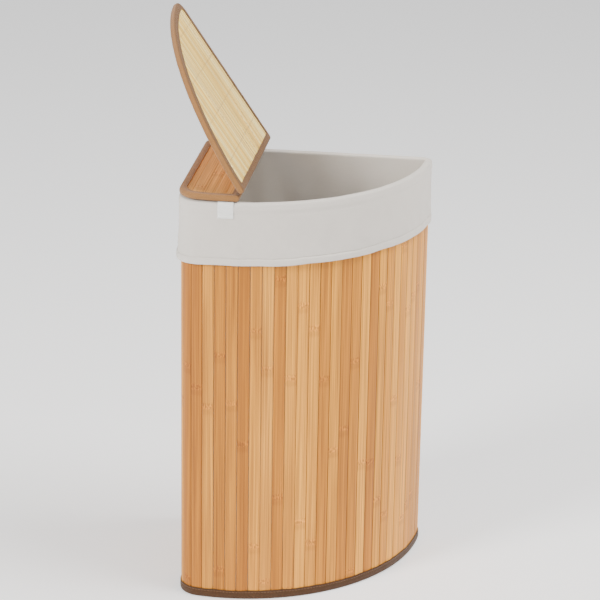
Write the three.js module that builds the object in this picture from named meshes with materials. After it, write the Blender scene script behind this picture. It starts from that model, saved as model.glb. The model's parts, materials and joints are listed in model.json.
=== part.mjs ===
// Corner laundry hamper: a wall of bamboo slats glued to cloth and held in shape by two wire
// hoops, a cloth liner turned down over the rim as a cuff, and a flat lid in two panels. The
// small panel lies on the rim, and the large one, the door, folds up and back on a cloth hinge.
//
// Millimetres, +Z up. The origin is on the floor, under the base board. The straight back wall
// runs along X behind it, the straight side wall runs along Y on its left, and the bowed front
// joins the two. The door is drawn folded back, as it stands when the hamper is being filled.

import * as THREE from 'three';

// ---- driving dimensions ----

const HEIGHT = 600;            // floor to the top of the liner's turned edge
const TOUCH = 0.3;             // gap left between two pieces that touch

const BACK_LEFT_R = 14;        // the corner in the back, between side wall and back wall
const FRONT_LEFT_R = 32;
const FRONT_LEFT_TURN = 82.5;
const FRONT_R = 265;
const FRONT_TURN = 93.75;
const BACK_RIGHT_R = 14;
const BACK_RIGHT_TURN = 270 - FRONT_LEFT_TURN - FRONT_TURN;
const ORIGIN_FROM_SIDE = 145;  // the origin, measured from the side wall
const ORIGIN_FROM_BACK = 112;  // and from the back wall

const SLAT_PITCH = 16.8;       // one slat and the fine gap beside it
const SLAT_GAP = 0.5;
const SLAT_THICK = 2;
const GROOVE_DEPTH = 0.7;      // lines between the slats of the two flat walls
const BACKING_THICK = 0.6;
const WIRE_R = 1.5;

const CLOTH = 0.8;
const HEM_THICK = 1.2;
const CUFF_DROP = 89;          // how far the liner hangs down outside
const BASE_BAND = 13.5;        // height of the bottom binding on the outside
const RIM_BAND = 16;           // height of the top binding, under the cuff
const BINDING_THICK = 0.8;
const BINDING_LIFT = 0.4;      // the bottom binding hangs just clear of the floor
const BASE_BOARD_THICK = 5;

const LID_THICK = 9;
const LID_OVERHANG = 2;        // the lid's edge stands out this far past the wall's outer face
const LID_BINDING = 11;        // how far the edge binding reaches over the panel
const LID_MAT = 1.2;
const FOLD_FROM_SIDE = 87;     // the fold line, measured from the side wall
const FOLD_GAP = 1.2;          // each panel's edge is this far from the fold line
const HINGE_CORD_R = 0.8;
const HINGE_SHORT = 6;         // the hinge stops this far from the lid's edge at either end
const DOOR_OPEN = 124.5;       // how far the door is folded back from closed, in degrees

const TAB_WIDTH = 22;
const TAB_DROP = 22;
const TAB_TO_FOLD = 8.5;        // the tabs hold the small panel this far from the fold
const TAB_REACH = 16;          // how far a tab reaches in under the lid

const DEG = Math.PI / 180;
const FACET_TURN = 12;         // most degrees of turn, and most length, of one facet where
const FACET_LENGTH = 18;       // the plan is round

// ---- materials ----

function finish(color, roughness, metalness = 0) {
  return () => new THREE.MeshStandardMaterial({ color, roughness, metalness });
}

const bamboo = finish(0xcf9e6b, 0.5);
const paleBamboo = finish(0xe9d3a2, 0.55);
const brownCloth = finish(0x7a5a42, 0.85);
const linerCloth = finish(0xd9d5d0, 0.9);
const tabCloth = finish(0xecebe8, 0.9);
const card = finish(0xb39a78, 0.9);
const steel = finish(0x8d8f92, 0.4, 0.8);

const hamper = new THREE.Group();
const door = new THREE.Group();

function add(group, name, geometry, material) {
  const mesh = new THREE.Mesh(geometry, material());
  mesh.name = name;
  group.add(mesh);
}

// ---- plan outline ----

// The wall's outer face in plan, walked counter-clockwise seen from above: down the side wall
// from the back left corner, round the front and home along the back wall. Each stretch has
// its length, its turn in degrees, and the point and heading at which it starts.
function planStretches() {
  const arcs = [
    [FRONT_LEFT_R, FRONT_LEFT_TURN],
    [FRONT_R, FRONT_TURN],
    [BACK_RIGHT_R, BACK_RIGHT_TURN],
    [BACK_LEFT_R, 90],
  ];
  let forward = 0;             // how far the three front arcs carry the walk back to the wall
  let across = 0;              // and how far to the right
  let heading = -90;
  for (const [radius, turn] of arcs.slice(0, 3)) {
    forward += radius * (Math.cos(heading * DEG) - Math.cos((heading + turn) * DEG));
    across += radius * (Math.sin((heading + turn) * DEG) - Math.sin(heading * DEG));
    heading += turn;
  }
  const runs = [
    [forward - BACK_LEFT_R, 0],
    ...arcs.slice(0, 3).map(([radius, turn]) => [radius * turn * DEG, turn]),
    [across - BACK_LEFT_R, 0],
    [BACK_LEFT_R * 90 * DEG, 90],
  ];
  const stretches = [];
  let x = -ORIGIN_FROM_SIDE;
  let y = ORIGIN_FROM_BACK - BACK_LEFT_R;
  heading = -90;
  for (const [length, turn] of runs) {
    const stretch = { length, turn, x, y, heading };
    stretches.push(stretch);
    const end = along(stretch, length);
    [x, y] = [end.x, end.y];
    heading += turn;
  }
  return stretches;
}

// The point at a distance along one stretch, with the outward normal.
function along({ length, turn, x, y, heading }, distance) {
  const h = (heading + turn * distance / length) * DEG;
  const h0 = heading * DEG;
  const normal = { nx: Math.sin(h), ny: -Math.cos(h) };
  if (turn === 0) {
    return { x: x + distance * Math.cos(h0), y: y + distance * Math.sin(h0), ...normal };
  }
  const radius = length / (turn * DEG);
  return {
    x: x + radius * (Math.sin(h) - Math.sin(h0)),
    y: y + radius * (Math.cos(h0) - Math.cos(h)),
    ...normal,
  };
}

const STRETCHES = planStretches();
const GIRTH = STRETCHES.reduce((sum, stretch) => sum + stretch.length, 0);

// The same, at a distance along the whole outline.
function outline(distance) {
  let rest = distance;
  for (const stretch of STRETCHES) {
    if (rest <= stretch.length) return along(stretch, rest);
    rest -= stretch.length;
  }
  return along(STRETCHES[0], rest);
}

// The distance along the outline at which a stretch starts.
function startOf(index) {
  return STRETCHES.slice(0, index).reduce((sum, stretch) => sum + stretch.length, 0);
}

function facetsOf({ length, turn }) {
  if (turn === 0) return 1;
  return Math.max(Math.ceil(turn / FACET_TURN), Math.ceil(length / FACET_LENGTH));
}

function planPoints() {
  const points = [];
  for (const stretch of STRETCHES) {
    const steps = facetsOf(stretch);
    for (let i = 0; i < steps; i += 1) points.push(along(stretch, stretch.length * i / steps));
  }
  return points;
}

const PLAN = planPoints();

function ring(out) {
  return PLAN.map(({ x, y, nx, ny }) => [x + nx * out, y + ny * out]);
}

// ---- solids ----

function solid(points, triangles) {
  const geometry = new THREE.BufferGeometry();
  geometry.setAttribute('position', new THREE.Float32BufferAttribute(points.flat(), 3));
  geometry.setIndex(triangles.flat());
  geometry.computeVertexNormals();
  return geometry;
}

// Rings of equal count joined in turn. Each ring runs counter-clockwise seen from above, and
// the first ones climb the outside. A closed loop of rings is a hollow band. An open run of
// rings is closed by a flat fan over its first and last ring.
function loft(rings, closed) {
  const count = rings[0].length;
  const points = rings.flat();
  const triangles = [];
  const joins = closed ? rings.length : rings.length - 1;
  for (let r = 0; r < joins; r += 1) {
    const a = r * count;
    const b = ((r + 1) % rings.length) * count;
    for (let i = 0; i < count; i += 1) {
      const j = (i + 1) % count;
      triangles.push([a + i, a + j, b + j], [a + i, b + j, b + i]);
    }
  }
  if (!closed) {
    const middle = (list) => [0, 1, 2].map((k) => list.reduce((s, p) => s + p[k], 0) / count);
    const low = points.push(middle(rings[0])) - 1;
    const high = points.push(middle(rings[rings.length - 1])) - 1;
    const top = (rings.length - 1) * count;
    for (let i = 0; i < count; i += 1) {
      const j = (i + 1) % count;
      triangles.push([low, j, i], [high, top + i, top + j]);
    }
  }
  return solid(points, triangles);
}

// A strip that follows the outline through stations of [distance, section]. A section is a
// loop of [out, height] pairs, counter-clockwise with out to the right. Its ends are fans
// from the section's first point.
function strip(stations) {
  const count = stations[0][1].length;
  const points = [];
  for (const [distance, section] of stations) {
    const { x, y, nx, ny } = outline(distance);
    for (const [out, z] of section) points.push([x + nx * out, y + ny * out, z]);
  }
  const triangles = [];
  for (let s = 0; s + 1 < stations.length; s += 1) {
    const a = s * count;
    const b = a + count;
    for (let k = 0; k < count; k += 1) {
      const m = (k + 1) % count;
      triangles.push([a + k, b + k, b + m], [a + k, b + m, a + m]);
    }
  }
  const last = (stations.length - 1) * count;
  for (let k = 1; k + 1 < count; k += 1) {
    triangles.push([0, k, k + 1], [last, last + k + 1, last + k]);
  }
  return solid(points, triangles);
}

function rectangle(inner, outer, bottom, top) {
  return [[outer, bottom], [outer, top], [inner, top], [inner, bottom]];
}

// A band round the whole outline, from a section as above.
function band(section) {
  return loft(section.map(([out, z]) => ring(out).map(([x, y]) => [x, y, z])), true);
}

// A flat plate of a convex plan shape.
function plate(shape, bottom, top) {
  const at = (z) => shape.map(([x, y]) => [x, y, z]);
  return loft([at(bottom), at(top)], false);
}

// ---- wall ----

const WIRE_OUT = -(SLAT_THICK + TOUCH + BACKING_THICK + TOUCH + WIRE_R);
const BINDING_INNER = WIRE_OUT - WIRE_R - TOUCH;
const BINDING_OUTER = TOUCH + BINDING_THICK;
const RIM_BINDING_TOP = HEIGHT - CLOTH - TOUCH;
const BASE_FOLD = BINDING_LIFT + BINDING_THICK;
const RIM_FOLD = RIM_BINDING_TOP - BINDING_THICK;
const SLAT_BOTTOM = BASE_FOLD + TOUCH;
const SLAT_TOP = RIM_FOLD - TOUCH;

// A slat of the bowed front, bent only as much as the corner it passes.
function slat(from, to) {
  const bend = Math.abs(headingAt(to) - headingAt(from));
  const facets = Math.max(1, Math.ceil(bend / FACET_TURN));
  const section = rectangle(-SLAT_THICK, 0, SLAT_BOTTOM, SLAT_TOP);
  const stations = [];
  for (let i = 0; i <= facets; i += 1) stations.push([from + (to - from) * i / facets, section]);
  return strip(stations);
}

function headingAt(distance) {
  let rest = distance;
  for (const { length, turn, heading } of STRETCHES) {
    if (rest <= length) return heading + turn * rest / length;
    rest -= length;
  }
  return STRETCHES[0].heading;
}

// The slats of a flat wall lie edge to edge on their cloth, so they make one grooved panel.
function groovedWall(from, to) {
  const count = Math.round((to - from) / SLAT_PITCH);
  const pitch = (to - from - SLAT_GAP) / count;
  const flat = rectangle(-SLAT_THICK, 0, SLAT_BOTTOM, SLAT_TOP);
  const groove = rectangle(-SLAT_THICK, -GROOVE_DEPTH, SLAT_BOTTOM, SLAT_TOP);
  const stations = [];
  for (let i = 0; i < count; i += 1) {
    const start = from + SLAT_GAP / 2 + i * pitch;
    if (i > 0) stations.push([start, groove]);
    stations.push([start + SLAT_GAP / 2, flat], [start + pitch - SLAT_GAP / 2, flat]);
  }
  return strip(stations);
}

function buildWall() {
  const frontStart = startOf(1);
  const frontEnd = startOf(4);
  const cornerStart = startOf(5);
  const count = Math.round((frontEnd - frontStart) / SLAT_PITCH);
  const pitch = (frontEnd - frontStart) / count;
  for (let i = 0; i < count; i += 1) {
    const name = `front_slat_${String(i + 1).padStart(2, '0')}`;
    const from = frontStart + i * pitch + SLAT_GAP / 2;
    add(hamper, name, slat(from, from + pitch - SLAT_GAP), bamboo);
  }
  add(hamper, 'side_wall_slats', groovedWall(0, frontStart), bamboo);
  add(hamper, 'back_wall_slats', groovedWall(frontEnd, cornerStart), bamboo);
  const cornerSlat = slat(cornerStart + SLAT_GAP / 2, GIRTH - SLAT_GAP / 2);
  add(hamper, 'back_corner_slat', cornerSlat, bamboo);

  const clothOut = -SLAT_THICK - TOUCH;
  const backing = rectangle(clothOut - BACKING_THICK, clothOut, SLAT_BOTTOM, SLAT_TOP);
  add(hamper, 'slat_backing_cloth', band(backing), brownCloth);
}

// ---- hoops and the bindings sewn over them ----

function hoop(z) {
  const sides = 8;
  const section = [];
  for (let i = 0; i < sides; i += 1) {
    const a = 2 * Math.PI * i / sides;
    section.push([WIRE_OUT + WIRE_R * Math.cos(a), z + WIRE_R * Math.sin(a)]);
  }
  return band(section);
}

function buildHoops() {
  const deepInside = 2 * WIRE_R + 3 * TOUCH + BINDING_THICK + 3;
  add(hamper, 'bottom_hoop', hoop(BASE_FOLD + TOUCH + WIRE_R), steel);
  add(hamper, 'top_hoop', hoop(RIM_FOLD - TOUCH - WIRE_R), steel);

  const baseInside = BINDING_LIFT + deepInside;
  add(hamper, 'bottom_binding', band([
    [BINDING_OUTER, BINDING_LIFT], [BINDING_OUTER, BASE_BAND], [TOUCH, BASE_BAND],
    [TOUCH, BASE_FOLD], [BINDING_INNER, BASE_FOLD], [BINDING_INNER, baseInside],
    [BINDING_INNER - BINDING_THICK, baseInside], [BINDING_INNER - BINDING_THICK, BINDING_LIFT],
  ]), brownCloth);

  const rimOutside = RIM_BINDING_TOP - RIM_BAND;
  const rimInside = RIM_BINDING_TOP - deepInside;
  add(hamper, 'rim_binding', band([
    [BINDING_OUTER, rimOutside], [BINDING_OUTER, RIM_BINDING_TOP],
    [BINDING_INNER - BINDING_THICK, RIM_BINDING_TOP],
    [BINDING_INNER - BINDING_THICK, rimInside], [BINDING_INNER, rimInside],
    [BINDING_INNER, RIM_FOLD], [TOUCH, RIM_FOLD], [TOUCH, rimOutside],
  ]), brownCloth);
}

// ---- base board and liner ----

const BOARD_OUT = BINDING_INNER - BINDING_THICK - TOUCH;
const CUFF_INNER = BINDING_OUTER + TOUCH;
const CUFF_OUTER = CUFF_INNER + HEM_THICK;

function buildInside() {
  add(hamper, 'base_board', plate(ring(BOARD_OUT), 0, BASE_BOARD_THICK), card);

  const floor = BASE_BOARD_THICK + TOUCH;
  const under = HEIGHT - CLOTH;
  const hem = HEIGHT - CUFF_DROP;
  const section = [
    [BOARD_OUT, floor], [BOARD_OUT, under], [CUFF_INNER, under], [CUFF_INNER, hem],
    [CUFF_OUTER, hem], [CUFF_OUTER, HEIGHT - HEM_THICK], [CUFF_INNER, HEIGHT],
    [BOARD_OUT - CLOTH / 2, HEIGHT], [BOARD_OUT - CLOTH, HEIGHT - CLOTH],
    [BOARD_OUT - CLOTH, floor + CLOTH],
  ];
  const rings = section.map(([out, z]) => ring(out).map(([x, y]) => [x, y, z]));
  add(hamper, 'liner', loft(rings, false), linerCloth);
}

// ---- lid ----

const FOLD_X = FOLD_FROM_SIDE - ORIGIN_FROM_SIDE;
const TAB_BOTTOM = HEIGHT + TOUCH;
const LID_BOTTOM = TAB_BOTTOM + CLOTH + TOUCH;
const LID_TOP = LID_BOTTOM + LID_THICK;

// The part of a convex shape on one side of a line parallel to the fold, side being 1 or -1.
// A corner too close to the line for the binding's width is left out, so the binding fits.
function cutAt(shape, limit, side) {
  const kept = [];
  shape.forEach((p, i) => {
    const q = shape[(i + 1) % shape.length];
    const a = (p[0] - limit) * side;
    const b = (q[0] - limit) * side;
    if (a > 1.5 * LID_BINDING) kept.push(p);
    if ((a > 0 && b < 0) || (a < 0 && b > 0)) kept.push([limit, p[1] + (q[1] - p[1]) * a / (a - b)]);
  });
  return kept;
}

// A convex shape with every edge moved inwards.
function inset(shape, amount) {
  return shape.map((p, i) => {
    const before = shape[(i + shape.length - 1) % shape.length];
    const after = shape[(i + 1) % shape.length];
    const [ax, ay] = inward(before, p);
    const [bx, by] = inward(p, after);
    const reach = amount / (1 + ax * bx + ay * by);
    return [p[0] + (ax + bx) * reach, p[1] + (ay + by) * reach];
  });
}

function inward(from, to) {
  const [dx, dy] = [to[0] - from[0], to[1] - from[1]];
  const length = Math.hypot(dx, dy);
  return [-dy / length, dx / length];
}

// One lid panel, lying closed with its top face at the height of the fold line: a board with
// a pale mat below and a slat mat above, bound round the edge with folded cloth. Heights are
// below the top face.
function buildPanel(group, prefix, shape) {
  const edge = BINDING_THICK + TOUCH;
  const body = inset(shape, edge);
  const matTop = -edge;
  const boardTop = matTop - LID_MAT - TOUCH;
  const liningBottom = edge - LID_THICK;
  const boardBottom = liningBottom + LID_MAT + TOUCH;
  add(group, `${prefix}_slat_mat`, plate(body, matTop - LID_MAT, matTop), bamboo);
  add(group, `${prefix}_board`, plate(body, boardBottom, boardTop), card);
  add(group, `${prefix}_lining_mat`, plate(body, liningBottom, liningBottom + LID_MAT), paleBamboo);

  const section = [
    [0, -LID_THICK], [0, 0], [LID_BINDING, 0], [LID_BINDING, -BINDING_THICK],
    [BINDING_THICK, -BINDING_THICK], [BINDING_THICK, BINDING_THICK - LID_THICK],
    [LID_BINDING, BINDING_THICK - LID_THICK], [LID_BINDING, -LID_THICK],
  ];
  const rings = section.map(([reach, z]) => inset(shape, reach).map(([x, y]) => [x, y, z]));
  add(group, `${prefix}_binding`, loft(rings, true), brownCloth);
}

function buildLid() {
  const whole = ring(LID_OVERHANG).map(([x, y]) => [x - FOLD_X, y]);
  const smallPanel = new THREE.Group();
  buildPanel(smallPanel, 'fixed_panel', cutAt(whole, -FOLD_GAP, -1));
  buildPanel(door, 'door', cutAt(whole, FOLD_GAP, 1));
  smallPanel.position.set(FOLD_X, 0, LID_TOP);
  door.position.set(FOLD_X, 0, LID_TOP);
  door.rotation.y = -DOOR_OPEN * DEG;

  const back = Math.max(...whole.map(([, y]) => y)) - HINGE_SHORT;
  const front = Math.min(...cutAt(whole, 0, -1).map(([, y]) => y)) + HINGE_SHORT;
  const cord = new THREE.CylinderGeometry(HINGE_CORD_R, HINGE_CORD_R, back - front, 8);
  cord.translate(0, (back + front) / 2, 0);
  add(smallPanel, 'fold_hinge_tape', cord, brownCloth);
  hamper.add(smallPanel, door);
}

// ---- tabs that hold the small panel to the rim ----

// The distance along one stretch of the outline at which it reaches a given x.
function distanceAtX(index, x) {
  const stretch = STRETCHES[index];
  let [low, high] = [0, stretch.length];
  const rising = along(stretch, high).x > along(stretch, low).x;
  for (let i = 0; i < 40; i += 1) {
    const middle = (low + high) / 2;
    if ((along(stretch, middle).x < x) === rising) low = middle;
    else high = middle;
  }
  return startOf(index) + low;
}

// A short tab that comes out from under the lid, turns over the rim and lies on the cuff.
function tab(index) {
  const right = FOLD_X - TAB_TO_FOLD;
  const ends = [distanceAtX(index, right - TAB_WIDTH), distanceAtX(index, right)];
  const [from, to] = [Math.min(...ends), Math.max(...ends)];
  const inner = CUFF_OUTER + TOUCH;
  const outer = inner + CLOTH;
  const section = [
    [inner, TAB_BOTTOM], [inner, HEIGHT - TAB_DROP], [outer, HEIGHT - TAB_DROP],
    [outer, TAB_BOTTOM + CLOTH], [inner - TAB_REACH, TAB_BOTTOM + CLOTH],
    [inner - TAB_REACH, TAB_BOTTOM],
  ];
  return strip([[from, section], [(from + to) / 2, section], [to, section]]);
}

function buildTabs() {
  add(hamper, 'front_tab', tab(2), tabCloth);
  add(hamper, 'back_tab', tab(4), tabCloth);
}

buildWall();
buildHoops();
buildInside();
buildLid();
buildTabs();

export default hamper;
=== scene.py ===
import json
import math
import random

import bmesh
import bpy
import numpy as np
from mathutils import Matrix, Vector


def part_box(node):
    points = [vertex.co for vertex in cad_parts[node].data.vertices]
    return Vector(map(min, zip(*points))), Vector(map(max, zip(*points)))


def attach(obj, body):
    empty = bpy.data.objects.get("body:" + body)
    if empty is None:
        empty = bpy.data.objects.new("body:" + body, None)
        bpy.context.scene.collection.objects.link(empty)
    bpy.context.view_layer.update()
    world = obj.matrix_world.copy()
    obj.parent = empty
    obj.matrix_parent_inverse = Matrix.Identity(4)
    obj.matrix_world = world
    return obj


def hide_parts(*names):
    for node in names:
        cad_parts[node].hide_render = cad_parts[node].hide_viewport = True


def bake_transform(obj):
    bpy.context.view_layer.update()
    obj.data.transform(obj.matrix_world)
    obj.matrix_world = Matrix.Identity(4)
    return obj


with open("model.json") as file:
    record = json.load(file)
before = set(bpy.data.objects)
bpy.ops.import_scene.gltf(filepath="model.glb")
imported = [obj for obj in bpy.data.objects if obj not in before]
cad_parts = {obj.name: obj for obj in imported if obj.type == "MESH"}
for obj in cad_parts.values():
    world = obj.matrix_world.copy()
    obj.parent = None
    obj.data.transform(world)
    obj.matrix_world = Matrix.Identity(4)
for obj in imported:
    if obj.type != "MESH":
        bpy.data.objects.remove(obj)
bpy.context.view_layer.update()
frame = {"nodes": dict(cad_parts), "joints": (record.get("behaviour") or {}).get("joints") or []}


# ---------------------------------------------------------------------------------------------
# Camera and studio. A long lens, looking down a little and turned slightly to the right of the
# straight back wall's normal. A pale floor, a large soft light on the left, one above and a weak
# warm one on the right.

CAMERA_PLACE = (0.4241, -3.3654, 1.6605)
CAMERA_DOWN = 20.25
CAMERA_TURN = 7.05
CAMERA_ROLL = -0.94
LENS_MM = 150.7

lens = bpy.data.cameras.new("camera")
lens.lens = LENS_MM
lens.sensor_width = 36.0
lens.clip_end = 50.0
camera = bpy.data.objects.new("camera", lens)
aim = Matrix.Rotation(math.radians(CAMERA_TURN), 4, "Z")
aim = aim @ Matrix.Rotation(math.radians(90.0 - CAMERA_DOWN), 4, "X")
aim = aim @ Matrix.Rotation(math.radians(-CAMERA_ROLL), 4, "Z")
camera.matrix_world = Matrix.Translation(CAMERA_PLACE) @ aim
bpy.context.scene.collection.objects.link(camera)
bpy.context.scene.camera = camera


def soft_light(name, place, target, size, watts, colour):
    lamp = bpy.data.lights.new(name, "AREA")
    lamp.shape = "DISK"
    lamp.size = size
    lamp.energy = watts
    lamp.color = colour
    obj = bpy.data.objects.new(name, lamp)
    direction = Vector(target) - Vector(place)
    turn = direction.to_track_quat("-Z", "Y").to_matrix().to_4x4()
    obj.matrix_world = Matrix.Translation(place) @ turn
    bpy.context.scene.collection.objects.link(obj)


soft_light("key", (-2.5, -2.5, 2.4), (0.0, 0.0, 0.35), 1.2, 182.0, (1.0, 0.985, 0.96))
soft_light("fill", (2.2, -2.8, 1.2), (0.0, 0.0, 0.3), 2.2, 16.0, (1.0, 0.92, 0.82))
soft_light("top", (1.5, -0.2, 2.9), (0.0, 0.0, 0.6), 1.8, 112.0, (1.0, 0.99, 0.97))

world = bpy.data.worlds.new("studio")
world.use_nodes = True
surroundings = world.node_tree.nodes["Background"].inputs
surroundings["Color"].default_value = (0.98, 0.98, 1.0, 1.0)
surroundings["Strength"].default_value = 0.45
bpy.context.scene.world = world

FLOOR_HALF = 12.0
floor_mesh = bpy.data.meshes.new("floor")
floor_mesh.from_pydata([(-FLOOR_HALF, -FLOOR_HALF, 0.0), (FLOOR_HALF, -FLOOR_HALF, 0.0),
                        (FLOOR_HALF, FLOOR_HALF, 0.0), (-FLOOR_HALF, FLOOR_HALF, 0.0)],
                       [], [(0, 1, 2, 3)])
floor = bpy.data.objects.new("floor", floor_mesh)
bpy.context.scene.collection.objects.link(floor)
floor_paint = bpy.data.materials.new("floor_paint")
floor_paint.use_nodes = True
floor_shader = floor_paint.node_tree.nodes["Principled BSDF"].inputs
floor_shader["Base Color"].default_value = (0.93, 0.93, 0.93, 1)
floor_shader["Roughness"].default_value = 0.9
floor_shader["Emission Color"].default_value = (1, 1, 1, 1)
floor_shader["Emission Strength"].default_value = 0.5
floor_mesh.materials.append(floor_paint)


# ---------------------------------------------------------------------------------------------
# Wall slats. Laths of bamboo about 17 mm wide are glued edge to edge on cloth as one flat mat,
# which is then wrapped round the plan of the hamper: down the short side wall, round the bowed
# front and home along the back wall. The tree lays the flat mat and wraps it round that line.

FRONT_LEFT_R, FRONT_LEFT_TURN = 0.032, 82.5
FRONT_R, FRONT_TURN = 0.265, 93.75
BACK_RIGHT_R, BACK_RIGHT_TURN = 0.014, 93.75
BACK_LEFT_R = 0.014
SLAT_PITCH = 0.0168
SLAT_GAP = 0.0004
SLAT_THICK = 0.002


def plan_line(step):
    """The wall's outer face in plan as rows of x, y, outward normal and distance walked."""
    side_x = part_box("side_wall_slats")[0][0]
    back_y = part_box("back_wall_slats")[1][1]
    turns = [(FRONT_LEFT_R, FRONT_LEFT_TURN), (FRONT_R, FRONT_TURN), (BACK_RIGHT_R, BACK_RIGHT_TURN)]
    heading = -90.0
    forward = across = 0.0
    for radius, turn in turns:
        a, b = math.radians(heading), math.radians(heading + turn)
        forward += radius * (math.cos(a) - math.cos(b))
        across += radius * (math.sin(b) - math.sin(a))
        heading += turn
    runs = [(forward - BACK_LEFT_R, 0.0)]
    runs += [(radius * math.radians(turn), turn) for radius, turn in turns]
    runs += [(across - BACK_LEFT_R, 0.0), (BACK_LEFT_R * math.pi / 2, 90.0)]
    x, y, heading, walked = side_x, back_y - BACK_LEFT_R, -90.0, 0.0
    rows = []
    for length, turn in runs:
        steps = max(1, math.ceil(length / step), math.ceil(turn / 6.0))
        for i in range(steps):
            h = math.radians(heading + turn * i / steps)
            rows.append((x, y, math.sin(h), -math.cos(h), walked + length * i / steps))
            middle = math.radians(heading + turn * (i + 0.5) / steps)
            arc = math.radians(turn) / steps
            chord = length / steps * (math.sin(arc / 2) / (arc / 2) if turn else 1.0)
            x += chord * math.cos(middle)
            y += chord * math.sin(middle)
        heading += turn
        walked += length
    return np.array(rows), walked


def mesh_object(name, points, faces):
    mesh = bpy.data.meshes.new(name)
    mesh.from_pydata([tuple(map(float, p)) for p in points], [], faces)
    mesh.validate()
    mesh.update()
    obj = bpy.data.objects.new(name, mesh)
    bpy.context.scene.collection.objects.link(obj)
    return obj


def new_tree(name, sizes):
    """A geometry tree with a mesh in and out, and one named number input for each size."""
    tree = bpy.data.node_groups.new(name, "GeometryNodeTree")
    tree.interface.new_socket("Geometry", in_out="INPUT", socket_type="NodeSocketGeometry")
    for label, value in sizes.items():
        kind = "NodeSocketInt" if isinstance(value, int) else "NodeSocketFloat"
        tree.interface.new_socket(label, in_out="INPUT", socket_type=kind).default_value = value
    tree.interface.new_socket("Geometry", in_out="OUTPUT", socket_type="NodeSocketGeometry")
    return tree, tree.nodes.new("NodeGroupInput"), tree.nodes.new("NodeGroupOutput")


def put(tree, kind, inputs=None, **settings):
    """Adds a node, sets what it needs, and links or sets its inputs."""
    node = tree.nodes.new(kind)
    for key, value in settings.items():
        setattr(node, key, value)
    for key, value in (inputs or {}).items():
        if isinstance(value, bpy.types.NodeSocket):
            tree.links.new(value, node.inputs[key])
        else:
            node.inputs[key].default_value = value
    return node


def grown(obj, tree, name, sizes=None):
    """The plain mesh that a geometry tree makes from an object, which is then discarded."""
    modifier = obj.modifiers.new(tree.name, "NODES")
    modifier.node_group = tree
    identifiers = {item.name: item.identifier for item in tree.interface.items_tree
                   if item.in_out == "INPUT" and item.socket_type != "NodeSocketGeometry"}
    for label, value in (sizes or {}).items():
        modifier[identifiers[label]] = value
    bpy.context.view_layer.update()
    evaluated = obj.evaluated_get(bpy.context.evaluated_depsgraph_get())
    mesh = bpy.data.meshes.new_from_object(evaluated, preserve_all_data_layers=True,
                                           depsgraph=bpy.context.evaluated_depsgraph_get())
    mesh.name = name
    result = bpy.data.objects.new(name, mesh)
    bpy.context.scene.collection.objects.link(result)
    obj.modifiers.remove(modifier)
    bpy.data.objects.remove(obj)
    return result


def material(name, roughness, sheen=0.0, coat=0.0):
    """An empty material with its shader's plain values set, and a way to add nodes to it."""
    made = bpy.data.materials.new(name)
    made.use_nodes = True
    shader = made.node_tree.nodes["Principled BSDF"]
    shader.inputs["Roughness"].default_value = roughness
    shader.inputs["Sheen Weight"].default_value = sheen
    shader.inputs["Coat Weight"].default_value = coat
    return made, made.node_tree, shader


def maths(tree, operation, a, b=0.0, c=0.0):
    return put(tree, "ShaderNodeMath", {0: a, 1: b, 2: c}, operation=operation).outputs[0]


def times(tree, a, b):
    return maths(tree, "MULTIPLY", a, b)


def times_plus(tree, a, b, c):
    return maths(tree, "MULTIPLY_ADD", a, b, c)


def vector(tree, x=0.0, y=0.0, z=0.0):
    return put(tree, "ShaderNodeCombineXYZ", {"X": x, "Y": y, "Z": z}).outputs[0]


def parts_of(tree, value):
    return put(tree, "ShaderNodeSeparateXYZ", {0: value}).outputs


def attribute(tree, name, kind="Vector"):
    return put(tree, "ShaderNodeAttribute", attribute_name=name).outputs[kind]


def object_place(tree):
    return put(tree, "ShaderNodeTexCoord").outputs["Object"]


def smooth_step(tree, value, low, high):
    """Goes smoothly from 0 at low to 1 at high, whichever of the two is the larger."""
    return put(tree, "ShaderNodeMapRange", {"Value": value, "From Min": low, "From Max": high},
               interpolation_type="SMOOTHSTEP").outputs[0]


def noise(tree, where, scale, detail, roughness=0.5):
    return put(tree, "ShaderNodeTexNoise", {"Vector": where, "Scale": scale, "Detail": detail,
                                            "Roughness": roughness})


def raised(tree, shader, height, strength, distance):
    bump = put(tree, "ShaderNodeBump", {"Height": height, "Strength": strength,
                                        "Distance": distance})
    tree.links.new(bump.outputs[0], shader.inputs["Normal"])


def blend_colour(tree, amount, a, b, mode="MIX"):
    node = put(tree, "ShaderNodeMix", {0: amount}, data_type="RGBA", blend_type=mode)
    for socket, value in ((node.inputs[6], a), (node.inputs[7], b)):
        if isinstance(value, bpy.types.NodeSocket):
            tree.links.new(value, socket)
        else:
            socket.default_value = value
    return node.outputs[2]


def srgb(red, green, blue):
    """A colour given as it looks on screen, 0 to 255, as the linear value a shader takes."""
    def linear(v):
        v /= 255.0
        return v / 12.92 if v <= 0.04045 else ((v + 0.055) / 1.055) ** 2.4
    return (linear(red), linear(green), linear(blue), 1.0)


def ramp(tree, factor, stops, interpolation="LINEAR"):
    node = put(tree, "ShaderNodeValToRGB", {0: factor})
    node.color_ramp.interpolation = interpolation
    elements = node.color_ramp.elements
    while len(elements) < len(stops):
        elements.new(0.5)
    for element, (place, colour) in zip(elements, stops):
        element.position = place
        element.color = colour
    return node.outputs["Color"]


WHITE = (1.0, 1.0, 1.0, 1.0)
# Painted shade: the wall laths are darkest at the first X and lightest at the second, standing in for
# light falling from one side.
PAINTED_SHADE_DARKEST_X, PAINTED_SHADE_LIGHTEST_X = -0.19, 0.17


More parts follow.
